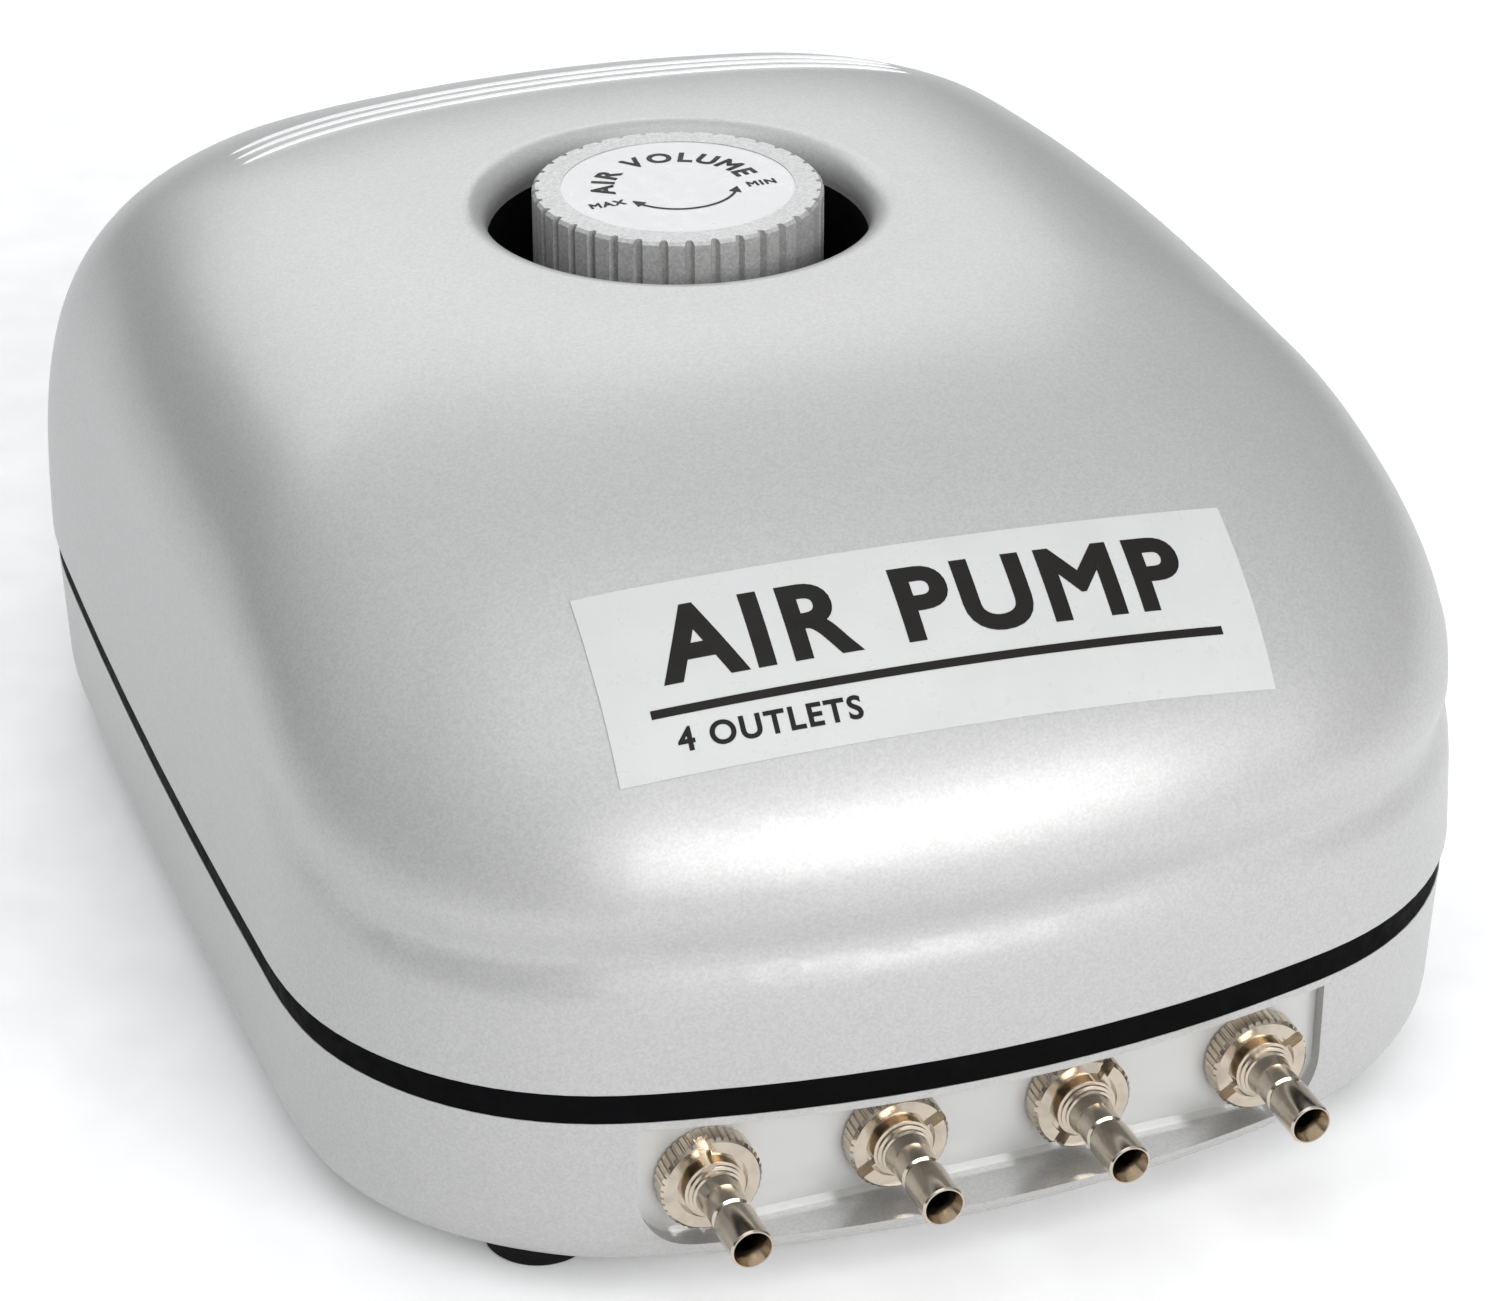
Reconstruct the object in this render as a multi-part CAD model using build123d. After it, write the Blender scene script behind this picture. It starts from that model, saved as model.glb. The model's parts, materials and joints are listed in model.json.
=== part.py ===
"""Four-outlet diaphragm air pump for aquariums and hydroponics, in millimetres.

The origin is at the bottom centre of the bounding box: +X to the right, +Y to the rear, +Z up.
Everything is laid out about the shells' own centre line and moved onto the origin on export.
"""
from build123d import *
from math import atan2, cos, exp, hypot, pi, radians, sin, sqrt
import os

os.makedirs("parts", exist_ok=True)

# ---- Driving dimensions -------------------------------------------------------------
HALF_WIDTH = 74.0          # plan outline at the seam: two nearly straight sides,
HALF_LENGTH = 100.0        # two bowed ends and four large corners, all tangent
SIDE_ARC = 1500.0
END_ARC = 165.0
CORNER_ARC = 40.5
WALL = 2.6

BASE_Z = 3.2               # underside of the lower shell, standing on rubber feet
RIM_Z = 24.4               # top rim of the lower shell
SEAM_Z = 28.5              # bottom rim of the upper shell, above the gasket
DOME_RISE = 58.5           # plateau above the seam

PLAN_Y = 4.0               # centre that all plan radii are taken from
KNOB_Y = 9.5               # knob axis
PLATEAU_RADIUS = 30.0
LIP_RADIUS = 3.5           # roll of the shell into the knob hole
HOLE_RADIUS = 24.0
KNOB_RADIUS = 18.3
KNOB_TOP = SEAM_Z + DOME_RISE + 1.7
KNOB_RIBS = 36

OUTLET_PITCH = 22.5
OUTLET_Z = 15.0
PANEL_Y = -92.4            # face of the flat outlet panel, sunk into the bowed front
TIP_REACH = 12.8           # from the ring nut's face to the end of the barb
NUT_THICKNESS = 3.0
BARB_RADIUS = 2.5          # takes 4 mm bore airline

FOOT_X, FOOT_Y = 48.6, 77.8
FOOT_RADIUS = 6.35
GLAND_Z = 15.0
GLAND_FACE_Y = 97.2
GLAND_FLANGE = 2.8
CORD_RADIUS = 3.25         # round two-core mains cord

LABEL_SIZE = (76.8, 23.0)
LABEL_CENTRE = (-2.0, -80.6, SEAM_Z + 43.0)
LABEL_TILT = 37.7          # degrees from level, down towards the front
LABEL_TURN = -2.0          # stuck on by hand, a little out of true
LABEL_THICKNESS = 0.2

CASE_SCREW_X, CASE_SCREW_Y = 55.0, 62.0
SCREW_RADIUS = 1.5         # M3 throughout
SCREW_SLACK = 0.2

FLOOR_Z = BASE_Z + WALL    # inside face of the lower shell's floor
CHASSIS_Z = (10.5, 13.5)   # plate on soft mounts that carries the vibrator
MID_Z = 30.0               # height of the coil, magnet and diaphragm centres
CORE_Y = -14.0
CORE_HALF = (33.0, 6.0, 6.0)
POLE_DEPTH, POLE_HALF_Y = 7.0, 18.0
COIL_HALF_LENGTH = 25.5
MAGNET_GAP = 2.0
MAGNET_SIZE = (4.0, 32.0, 16.0)
ARM_THICKNESS = 3.0
PIVOT_Y = 48.0
PIN_RADIUS = 2.0
RUNNING_GAP = 0.05         # radial clearance of pins and shafts in their bushes
BUSH_RADIUS = 3.6
DIAPHRAGM_Y = 10.0
DIAPHRAGM_RADIUS = 15.5
HOSE_RADIUS, HOSE_BORE = 3.5, 2.0

SHELL_Y = (-PANEL_Y + NUT_THICKNESS + TIP_REACH - GLAND_FACE_Y - GLAND_FLANGE) / 2

# ---- Small helpers ------------------------------------------------------------------


def smooth(value, low, high):
    """0 at low, 1 at high, easing between; low may be the larger of the two."""
    share = min(max((value - low) / (high - low), 0.0), 1.0)
    return share * share * (3 - 2 * share)


def block(x, y, z):
    """Box between pairs of limits."""
    size = [b - a for a, b in (x, y, z)]
    middle = [(a + b) / 2 for a, b in (x, y, z)]
    return Pos(*middle) * Box(*size)


def rod(radius, z, x=0.0, y=0.0):
    """Upright cylinder between two heights."""
    return Pos(x, y, (z[0] + z[1]) / 2) * Cylinder(radius, z[1] - z[0])


def rod_along_y(radius, y, x, z):
    return Pos(x, (y[0] + y[1]) / 2, z) * Rot(90, 0, 0) * Cylinder(radius, y[1] - y[0])


def rod_along_x(radius, x, y, z):
    return Pos((x[0] + x[1]) / 2, y, z) * Rot(0, 90, 0) * Cylinder(radius, x[1] - x[0])


def lathe(points):
    """Solid of revolution about Z from (radius, height) corners."""
    outline = Polyline(*[(r, 0, z) for r, z in points], close=True)
    return revolve(make_face(outline), Axis.Z, 360)


def mirrored(shape):
    return mirror(shape, Plane.YZ)


def tube(points, radius, bore, bend):
    """Hose along straight runs joined by tangent arcs."""
    path = FilletPolyline(*points, radius=bend)
    start = Plane(path @ 0, z_dir=path % 0)
    section = start * Circle(radius)
    if bore:
        section -= start * Circle(bore)
    return sweep(section, path=path)


def together(shapes):
    """One node that holds several separate solids."""
    solids = [solid for shape in shapes for solid in shape.solids()]
    return Compound(children=solids)


# ---- Plan outline and skins ---------------------------------------------------------


def corner_centre():
    """Centre of the rear right corner arc, which is tangent to the side and end arcs."""
    side, end = HALF_WIDTH - SIDE_ARC, HALF_LENGTH - END_ARC
    reach_side, reach_end = SIDE_ARC - CORNER_ARC, END_ARC - CORNER_ARC
    gap = hypot(side, end)
    along = (gap**2 + reach_side**2 - reach_end**2) / (2 * gap)
    across = sqrt(reach_side**2 - along**2)
    ux, uy = -side / gap, end / gap
    options = [(side + along * ux - s * across * uy, along * uy + s * across * ux) for s in (1, -1)]
    return max(options, key=sum)


CORNER_X, CORNER_Y = corner_centre()
CORNER_START = atan2(CORNER_Y, CORNER_X - HALF_WIDTH + SIDE_ARC)
CORNER_END = atan2(CORNER_Y - HALF_LENGTH + END_ARC, CORNER_X)


def ray_to_circle(dx, dy, cx, cy, radius):
    """Distance along a ray from the plan centre to the far side of a circle."""
    px, py = cx, cy - PLAN_Y
    along = dx * px + dy * py
    return along + sqrt(max(along**2 - px**2 - py**2 + radius**2, 0.0))


def outline_radius(angle, inset=0.0):
    """Distance from the plan centre to the plan outline, moved inwards by inset."""
    dx, dy = cos(angle), sin(angle)
    sx, sy = (1 if dx >= 0 else -1), (1 if dy >= 0 else -1)
    corner = ray_to_circle(dx, dy, sx * CORNER_X, sy * CORNER_Y, CORNER_ARC - inset)
    x, y = abs(corner * dx), abs(PLAN_Y + corner * dy)
    if CORNER_START <= atan2(y - CORNER_Y, x - CORNER_X) <= CORNER_END:
        return corner
    side = ray_to_circle(dx, dy, sx * (HALF_WIDTH - SIDE_ARC), 0, SIDE_ARC - inset)
    end = ray_to_circle(dx, dy, 0, sy * (HALF_LENGTH - END_ARC), END_ARC - inset)
    return min(side, end)


CREASE_FRONT, CREASE_SIDE = 16.0, 30.0   # height of the crease above the seam
SKIRT_DRAFT = 0.055
CREASE_DEPTH, CREASE_REACH = 1.5, 3.2    # hollow along the crease, in front and round the corners
POWER_FRONT, POWER_SIDE = 1.9, 2.2       # how square the hood is above the crease
POWER_PLAIN, POWER_REAR = 3.1, 2.6       # and where there is no crease


def upper_radius(angle, rise, inset=0.0):
    """Plan radius of the upper skin at a height above the seam, moved inwards by inset.

    At the front and sides a slightly leaning skirt ends in a shallow crease, hollowed in front,
    and the hood starts upright above it. Towards the rear the two merge into one plain curve.
    """
    forward, rearward = max(0.0, -sin(angle)) ** 1.5, max(0.0, sin(angle)) ** 1.5
    rise_top = DOME_RISE - inset
    outer = outline_radius(angle, inset)

    crease = CREASE_SIDE + (CREASE_FRONT - CREASE_SIDE) * smooth(-sin(angle), 0.50, 0.80)
    skirt = outer - SKIRT_DRAFT * min(rise, crease)
    above = min(max(rise - crease, 0.0) / (rise_top - crease), 1.0)
    power = POWER_SIDE + (POWER_FRONT - POWER_SIDE) * forward
    creased = PLATEAU_RADIUS + (skirt - PLATEAU_RADIUS) * (1 - above**power) ** (1 / power)

    power = POWER_PLAIN + (POWER_REAR - POWER_PLAIN) * rearward
    above = min(rise / rise_top, 1.0)
    plain = PLATEAU_RADIUS + (outer - PLATEAU_RADIUS) * (1 - above**power) ** (1 / power)

    hollow = CREASE_DEPTH * smooth(-sin(angle), 0.45, 0.85) * exp(-(((rise - crease) / CREASE_REACH) ** 2))
    share = smooth(sin(angle), 0.75, 0.05)
    return share * (creased - hollow) + (1 - share) * plain


LOWER_INSET, LOWER_DRAFT, LOWER_ROUND = 0.5, 0.045, 6.0


def lower_radius(angle, z, inset=0.0):
    """Plan radius of the lower skin at a height: upright in front, round at the bottom."""
    draft = LOWER_DRAFT * smooth(-sin(angle), 0.94, 0.84)
    wall = outline_radius(angle, LOWER_INSET + inset) - draft * (RIM_Z - z)
    turn = LOWER_ROUND - min(z - BASE_Z - inset, LOWER_ROUND)
    return wall - LOWER_ROUND + sqrt(LOWER_ROUND**2 - turn**2)


ANGLES = 72


def skin(levels, radius_at):
    """Solid lofted through level, closed spline sections about the plan centre."""
    wires = []
    for z in levels:
        ring = []
        for k in range(ANGLES):
            angle = 2 * pi * k / ANGLES - pi / 2
            r = radius_at(angle, z)
            ring.append((r * cos(angle), PLAN_Y + r * sin(angle), z))
        spline = Edge.make_spline(ring, periodic=True, parameters=[k / ANGLES for k in range(ANGLES + 1)])
        wires.append(Wire([spline]))
    return Solid.make_loft(wires)


def upper_levels(inset):
    """Heights in even steps past the crease, then crowding towards the plateau."""
    top = DOME_RISE - inset
    steps = 17
    straight = 34.0
    low = [straight * k / steps for k in range(steps + 1)]
    turns = 16
    high = [straight + (top - straight) * sin(pi / 2 * k / turns) for k in range(1, turns + 1)]
    return [SEAM_Z + rise for rise in low + high]


def upper_skin(inset=0.0):
    return skin(upper_levels(inset), lambda angle, z: upper_radius(angle, z - SEAM_Z, inset))


def lower_skin(inset=0.0):
    bottom = BASE_Z + inset
    turns = 8
    low = [bottom + LOWER_ROUND * (1 - cos(pi / 2 * k / turns)) for k in range(turns + 1)]
    steps = 8
    high = [low[-1] + (RIM_Z - low[-1]) * k / steps for k in range(1, steps + 1)]
    return skin(low + high, lambda angle, z: lower_radius(angle, z, inset))


# ---- Casing -------------------------------------------------------------------------
TOP_Z = SEAM_Z + DOME_RISE
COLLAR_Z = TOP_Z - 4.5                    # lower end of the short collar inside the knob hole
COLLAR_RADIUS = HOLE_RADIUS + WALL
LEDGE_Z = SEAM_Z - 21.2                   # bottom of the outlet recess
RECESS_HALF_WIDTH = 42.0
RECESS_CORNER = 6.5
RIM_STRIP = 1.0                           # left of the rim above the recess
OUTLET_X = [OUTLET_PITCH * step for step in (-1.5, -0.5, 0.5, 1.5)]
OUTLET_HOLE = 3.75
POST_RADIUS, BOSS_RADIUS = 5.5, 4.5
SCREW_SHOULDER_Z = 14.0
FILTER_Y, FILTER_RADIUS, FELT_RADIUS = 68.0, 13.6, 12.0
FILTER_SEAT_Z = 5.0
FOOT_STEM = 2.5
GLAND_HOLE = 5.0
GLAND_PAD_Y = 93.5                        # flat inside the rear wall for the cord gland

CORNERS = [(sx, sy) for sy in (-1, 1) for sx in (-1, 1)]
SCREW_PLACES = [(sx * CASE_SCREW_X, sy * CASE_SCREW_Y) for sx, sy in CORNERS]


def knob_axis(shape):
    return Pos(0, KNOB_Y, 0) * shape


def lip():
    """Shell rolled over into the knob hole, and the collar that it ends in."""
    centre = (HOLE_RADIUS + LIP_RADIUS, TOP_Z - LIP_RADIUS)
    inner = LIP_RADIUS - WALL
    section = [
        CenterArc(centre, LIP_RADIUS, 90, 90),
        Line((HOLE_RADIUS, centre[1]), (HOLE_RADIUS, COLLAR_Z)),
        Line((HOLE_RADIUS, COLLAR_Z), (COLLAR_RADIUS, COLLAR_Z)),
        Line((COLLAR_RADIUS, COLLAR_Z), (COLLAR_RADIUS, centre[1])),
        CenterArc(centre, inner, 90, 90),
        Line((centre[0], TOP_Z - WALL), (centre[0], TOP_Z)),
    ]
    return revolve(Plane.XZ * make_face(section), Axis.Z, 360)


def upper_shell():
    """Hood with a rolled-in knob opening and four blind screw bosses."""
    bosses = [rod(BOSS_RADIUS, (SEAM_Z, TOP_Z), *place) for place in SCREW_PLACES]
    shell = upper_skin() - (upper_skin(WALL) - bosses)
    shell -= knob_axis(rod(HOLE_RADIUS + LIP_RADIUS, (COLLAR_Z, TOP_Z + WALL)))
    shell += knob_axis(lip())
    return shell - [rod(SCREW_RADIUS, (SEAM_Z, SEAM_Z + 17.5), *place) for place in SCREW_PLACES]


def recess():
    """What the outlet panel is sunk by: flat back, flat ledge, rounded lower corners."""
    room = block((-RECESS_HALF_WIDTH, RECESS_HALF_WIDTH), (-120, PANEL_Y), (LEDGE_Z, RIM_Z - RIM_STRIP))
    return fillet(room.edges().filter_by(Axis.Y).group_by(Axis.Z)[0], RECESS_CORNER)


def lower_solids():
    """Everything that stands inside the lower shell's outer skin."""
    half = RECESS_HALF_WIDTH + WALL + 1
    panel = block((-half, half), (-120, PANEL_Y + WALL), (BASE_Z, RIM_Z))
    gland_pad = block((-9, 9), (GLAND_PAD_Y, 120), (BASE_Z, GLAND_Z + 9))
    filter_ring = rod(FILTER_RADIUS + 1.6, (BASE_Z, FLOOR_Z + 4.4), 0, FILTER_Y)
    posts = [rod(POST_RADIUS, (BASE_Z, RIM_Z), *place) for place in SCREW_PLACES]
    return [panel, gland_pad, filter_ring, *posts]


def lower_holes():
    """Holes for outlets, cord, feet, filter and case screws."""
    holes = [rod_along_y(OUTLET_HOLE, (PANEL_Y - 1, PANEL_Y + WALL + 1), x, OUTLET_Z) for x in OUTLET_X]
    holes.append(rod_along_y(GLAND_HOLE, (GLAND_PAD_Y - 1, 120), 0, GLAND_Z))
    holes.append(rod_along_y(GLAND_HOLE + 2.2, (GLAND_FACE_Y, 120), 0, GLAND_Z))
    holes += [rod(FOOT_STEM, (0, FLOOR_Z + 1), sx * FOOT_X, sy * FOOT_Y) for sx, sy in CORNERS]
    holes.append(rod(FILTER_RADIUS, (0, FILTER_SEAT_Z), 0, FILTER_Y))
    holes.append(rod(FELT_RADIUS, (0, 20), 0, FILTER_Y))
    holes += [rod(SCREW_RADIUS + SCREW_SLACK, (0, SEAM_Z + 1), *place) for place in SCREW_PLACES]
    holes += [rod(3.6, (0, SCREW_SHOULDER_Z), *place) for place in SCREW_PLACES]
    return holes


def lower_shell():
    """Tray with a sunk outlet panel, screw posts and a filter ring."""
    shell = lower_skin() - (lower_skin(WALL) - lower_solids())
    shell += [rod(POST_RADIUS, (RIM_Z - 1, SEAM_Z), *place) for place in SCREW_PLACES]
    return shell - recess() - lower_holes()


def seam_gasket():
    """Flat ring between the two rims."""
    levels = (RIM_Z, SEAM_Z)
    outer = skin(levels, lambda angle, z: outline_radius(angle, 0.6))
    return outer - skin(levels, lambda angle, z: outline_radius(angle, 4.5))


def front_label():
    """Thin sheet that follows the hood."""
    tilt = radians(LABEL_TILT)
    slope = Plane(LABEL_CENTRE, x_dir=(1, 0, 0), z_dir=(0, -sin(tilt), cos(tilt)))
    patch = slope * Rot(0, 0, LABEL_TURN) * Box(*LABEL_SIZE, 12)
    return (upper_skin(-LABEL_THICKNESS) & patch) - upper_skin()


def foot():
    """Push-in rubber foot."""
    r = FOOT_RADIUS
    profile = [(0, 0), (r - 0.3, 0), (r, 0.3), (r, BASE_Z), (FOOT_STEM, BASE_Z), (FOOT_STEM, FLOOR_Z)]
    return lathe(profile + [(4.0, FLOOR_Z), (4.0, FLOOR_Z + 1), (2.0, FLOOR_Z + 3.2), (0, FLOOR_Z + 3.2)])


def case_screws():
    head = SCREW_SHOULDER_Z - 2.5
    screw = rod(3.2, (head, SCREW_SHOULDER_Z)) + rod(SCREW_RADIUS, (SCREW_SHOULDER_Z, SEAM_Z + 15.5))
    screw -= block((-2.2, 2.2), (-0.4, 0.4), (head - 1, head + 1.2))
    screw -= block((-0.4, 0.4), (-2.2, 2.2), (head - 1, head + 1.2))
    return together([Pos(x, y, 0) * screw for x, y in SCREW_PLACES])


def filter_cover():
    """Slotted disc that snaps in under the felt."""
    cover = rod(FILTER_RADIUS, (BASE_Z + 0.3, FILTER_SEAT_Z), 0, FILTER_Y)
    slots = [block((-8, 8), (y - 0.9, y + 0.9), (0, 10)) for y in (-7.2, -3.6, 0, 3.6, 7.2)]
    return cover - [Pos(0, FILTER_Y, 0) * slot for slot in slots]


def cord_grommet():
    """Rubber gland that grips the rear wall; the cord itself is not part of the model."""
    neck = GLAND_FACE_Y - GLAND_PAD_Y
    flange = GLAND_HOLE + 2.0
    lip_r = GLAND_HOLE + 1.2
    outer = [(CORD_RADIUS, -2), (GLAND_HOLE, -2), (lip_r, 0), (GLAND_HOLE, 0), (GLAND_HOLE, neck)]
    face = neck + GLAND_FLANGE
    outer += [(flange, neck), (flange, face - 0.8), (flange - 0.8, face), (CORD_RADIUS, face)]
    return Pos(0, GLAND_PAD_Y, GLAND_Z) * Rot(-90, 0, 0) * lathe(outer)


# ---- Air outlets --------------------------------------------------------------------
THREAD_RADIUS = 3.6
MANIFOLD_Y = (PANEL_Y + WALL, -78.0)
MANIFOLD_Z = (9.5, 21.0)
NIPPLE_ROOT = WALL + 5.0                  # thread length behind the panel's face
SPIGOT_LENGTH = 7.0
MANIFOLD_HOSE_X = 30.0


def outward(shape, x):
    """Places a shape made along +Z on the panel, pointing to the front."""
    return Pos(x, PANEL_Y, OUTLET_Z) * Rot(90, 0, 0) * shape


def ribbed(radius, depth, count, land, height):
    """Upright ribbed prism; land is the share of the pitch that stands proud."""
    points = []
    for k in range(count):
        for share, r in ((-land / 2, radius), (land / 2, radius), (0.5 - land / 8, radius - depth)):
            angle = 2 * pi * (k + share) / count
            points.append((r * cos(angle), r * sin(angle)))
        angle = 2 * pi * (k + 0.5 + land / 8) / count
        points.append(((radius - depth) * cos(angle), (radius - depth) * sin(angle)))
    return extrude(make_face(Polyline(*points, close=True)), height)


def outlet_nipple(x):
    """Turned hose barb with a stepped collar, a waist groove and a countersunk bore."""
    tip = NUT_THICKNESS + TIP_REACH
    waist = 10.0
    collar = NUT_THICKNESS + 0.9
    profile = [(1.5, -NIPPLE_ROOT), (THREAD_RADIUS, -NIPPLE_ROOT), (THREAD_RADIUS, collar)]
    profile += [(3.3, collar + 0.1), (3.3, collar + 0.5), (2.95, collar + 0.6), (2.95, collar + 1.0)]
    profile += [(2.7, collar + 1.1), (2.4, collar + 2.6), (2.4, waist - 0.7), (2.1, waist - 0.5)]
    profile += [(2.1, waist), (BARB_RADIUS, waist + 0.3), (BARB_RADIUS, tip - 0.2), (2.35, tip)]
    profile += [(2.2, tip), (1.5, tip - 2.0)]
    return outward(lathe(profile), x)


def outlet_nut(x, turn):
    """Knurled ring nut with two spanner slots."""
    ring = ribbed(6.0, 0.3, 40, 0.5, NUT_THICKNESS)
    ring &= lathe([(0, 0), (5.7, 0), (6.1, 0.4), (6.1, 2.5), (5.6, NUT_THICKNESS), (0, NUT_THICKNESS)])
    ring -= rod(THREAD_RADIUS, (-1, 5)) + rod(4.2, (NUT_THICKNESS - 0.8, 5))
    ring -= block((-8, 8), (-0.8, 0.8), (NUT_THICKNESS - 1.3, 5))
    return outward(Rot(0, 0, turn) * ring, x)


def air_manifold():
    """Moulded gallery behind the panel with two hose spigots."""
    body = block((-41, 41), MANIFOLD_Y, MANIFOLD_Z)
    body = fillet(body.edges().filter_by(Axis.Y), 2.0)
    gallery_y = MANIFOLD_Y[0] + 6.3
    bores = [rod_along_x(3.0, (-38, 38), gallery_y, OUTLET_Z)]
    thread_y = (MANIFOLD_Y[0] - 1, MANIFOLD_Y[0] + 5)
    bores += [rod_along_y(THREAD_RADIUS, thread_y, x, OUTLET_Z) for x in OUTLET_X]
    for x in (-MANIFOLD_HOSE_X, MANIFOLD_HOSE_X):
        body += rod_along_y(HOSE_BORE, (MANIFOLD_Y[1], MANIFOLD_Y[1] + SPIGOT_LENGTH), x, OUTLET_Z)
        bores.append(rod_along_y(1.2, (gallery_y, MANIFOLD_Y[1] + SPIGOT_LENGTH + 1), x, OUTLET_Z))
    return body - bores


# ---- Air control --------------------------------------------------------------------
WELL_FLOOR_Z = TOP_Z - 20.0
BOARD_Y = 4.0                             # centre of the control board, under the well
BOARD_Z = (55.4, 57.0)
POT_TOP_Z = WELL_FLOOR_Z - 2.0
BUSH_TOP_Z = WELL_FLOOR_Z + 4.5
POT_THREAD = 3.5
SHAFT_RADIUS = 3.0
SHAFT_TOP_Z = KNOB_TOP - 3.6
LABEL_DISC_RADIUS = 14.7
KNOB_SKIRT_Z = TOP_Z - 10.0               # lower end of the knob
RIB_DEPTH, RIB_LAND = 0.9, 0.62


def control_well():
    """Cup that closes the knob opening and carries the control."""
    cup = rod(COLLAR_RADIUS, (POT_TOP_Z, COLLAR_Z)) - rod(HOLE_RADIUS, (WELL_FLOOR_Z, COLLAR_Z + 1))
    return knob_axis(cup - rod(POT_THREAD, (POT_TOP_Z - 1, WELL_FLOOR_Z + 1)))


def control_pot():
    """Rotary control with a threaded bush."""
    can = rod(8.5, (BOARD_Z[1], POT_TOP_Z)) + rod(POT_THREAD, (POT_TOP_Z, BUSH_TOP_Z))
    return knob_axis(can - rod(SHAFT_RADIUS + RUNNING_GAP, (BOARD_Z[1] + 0.6, BUSH_TOP_Z + 1)))


def pot_nut():
    hexagon = extrude(RegularPolygon(5.0, 6, major_radius=False), 2.4)
    hole = rod(POT_THREAD, (WELL_FLOOR_Z - 1, WELL_FLOOR_Z + 3))
    return knob_axis(Pos(0, 0, WELL_FLOOR_Z) * hexagon - hole)


def flatted_rod(bottom):
    """Shaft shape with its driving flat, used for the shaft's end and the knob's socket."""
    flat = block((-4, 4), (2.3, 4), (BUSH_TOP_Z + 1, SHAFT_TOP_Z + 1))
    return rod(SHAFT_RADIUS, (bottom, SHAFT_TOP_Z)) - flat


def pot_shaft():
    return knob_axis(flatted_rod(BOARD_Z[1] + 1.0))


def knob():
    """Ribbed cap with a hub on the shaft and a shallow seat for its disc."""
    low, edge = KNOB_SKIRT_Z, KNOB_RADIUS - 0.4
    body = Pos(0, 0, low) * ribbed(KNOB_RADIUS, RIB_DEPTH, KNOB_RIBS, RIB_LAND, KNOB_TOP - low)
    body &= lathe([(0, low), (19, low), (19, KNOB_TOP - 1.1), (edge, KNOB_TOP), (0, KNOB_TOP)])
    body -= rod(15.6, (low - 1, KNOB_TOP - 3.0))
    body += rod(5.2, (BUSH_TOP_Z + 1, KNOB_TOP - 2.0))
    body -= rod(LABEL_DISC_RADIUS, (KNOB_TOP - 0.5, KNOB_TOP + 1))
    return knob_axis(body - flatted_rod(BUSH_TOP_Z))


def knob_label():
    return knob_axis(rod(LABEL_DISC_RADIUS, (KNOB_TOP - 0.5, KNOB_TOP - 0.1)))


def control_board():
    return Pos(0, BOARD_Y, 0) * block((-25, 25), (-17, 17), BOARD_Z)


def board_parts():
    """Film capacitor, power switch and terminal block under the board."""
    low = BOARD_Z[0]
    capacitor = fillet(block((-20, -6), (2, 10), (low - 8.5, low)).edges().filter_by(Axis.Z), 1)
    switch = block((0, 10), (4, 8.5), (low - 8, low))
    terminals = block((13, 23), (-2, 10), (low - 8, low)) - rod_along_y(1.6, (5, 11), 18, low - 4)
    return Pos(0, BOARD_Y, 0) * together([capacitor, switch, terminals])


# ---- Vibrator -----------------------------------------------------------------------
CORE_SCREW_PLACES = [(sx * 29.5, CORE_Y + sy * 14.0) for sx, sy in CORNERS]
ISOLATOR_PLACES = [(sx * 50.0, y) for y in (-32.0, 48.0) for sx in (-1, 1)]
ISOLATOR_NECK = 2.5
PILLAR_RADIUS = 3.4                       # leaves the magnets their swing
CORE_Z = (MID_Z - CORE_HALF[2], MID_Z + CORE_HALF[2])
MAGNET_X = CORE_HALF[0] + MAGNET_GAP
ARM_X = MAGNET_X + MAGNET_SIZE[0]
ARM_OUT_X = ARM_X + ARM_THICKNESS
PIVOT_X = ARM_X + ARM_THICKNESS / 2
ARM_Z = (MID_Z - MAGNET_SIZE[2] / 2, MID_Z + MAGNET_SIZE[2] / 2)
BOSS_Z = (MID_Z - 10.0, MID_Z + 10.0)
BOX_X = (ARM_OUT_X + 7.5, 62.0)           # valve box, from its diaphragm face outwards
BOX_Y = (DIAPHRAGM_Y - 16.0, DIAPHRAGM_Y + 16.0)
BOX_Z = (CHASSIS_Z[1], 46.0)
SPIGOT_X, SPIGOT_Z = 58.5, 24.0


def box_about(half_x, half_y, half_z):
    """Block centred on the coil."""
    return Pos(0, CORE_Y, MID_Z) * Box(2 * half_x, 2 * half_y, 2 * half_z)


def chassis():
    """Plate with pillars for the core, on four soft mounts."""
    plate = block((-62, 62), (-40, 56), CHASSIS_Z)
    plate = fillet(plate.edges().filter_by(Axis.Z), 12)
    plate += [rod(PILLAR_RADIUS, (CHASSIS_Z[1], CORE_Z[0]), *place) for place in CORE_SCREW_PLACES]
    plate -= [rod(SCREW_RADIUS, (CHASSIS_Z[1] + 2, CORE_Z[0] + 1), *place) for place in CORE_SCREW_PLACES]
    plate -= [rod(ISOLATOR_NECK, (CHASSIS_Z[0] - 1, CHASSIS_Z[1] + 1), *place) for place in ISOLATOR_PLACES]
    through = (CHASSIS_Z[0] - 1, CHASSIS_Z[1] + 1)
    return plate - [rod(PIN_RADIUS, through, sx * PIVOT_X, PIVOT_Y) for sx in (-1, 1)]


def chassis_isolators():
    low, high = CHASSIS_Z
    neck = ISOLATOR_NECK
    profile = [(0, FLOOR_Z), (5.0, FLOOR_Z), (4.2, (FLOOR_Z + low) / 2), (5.0, low)]
    profile += [(neck, low), (neck, high)]
    profile += [(4.0, high), (4.0, high + 0.8), (2.0, high + 2.6), (0, high + 2.6)]
    return together([Pos(x, y, 0) * lathe(profile) for x, y in ISOLATOR_PLACES])


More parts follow.
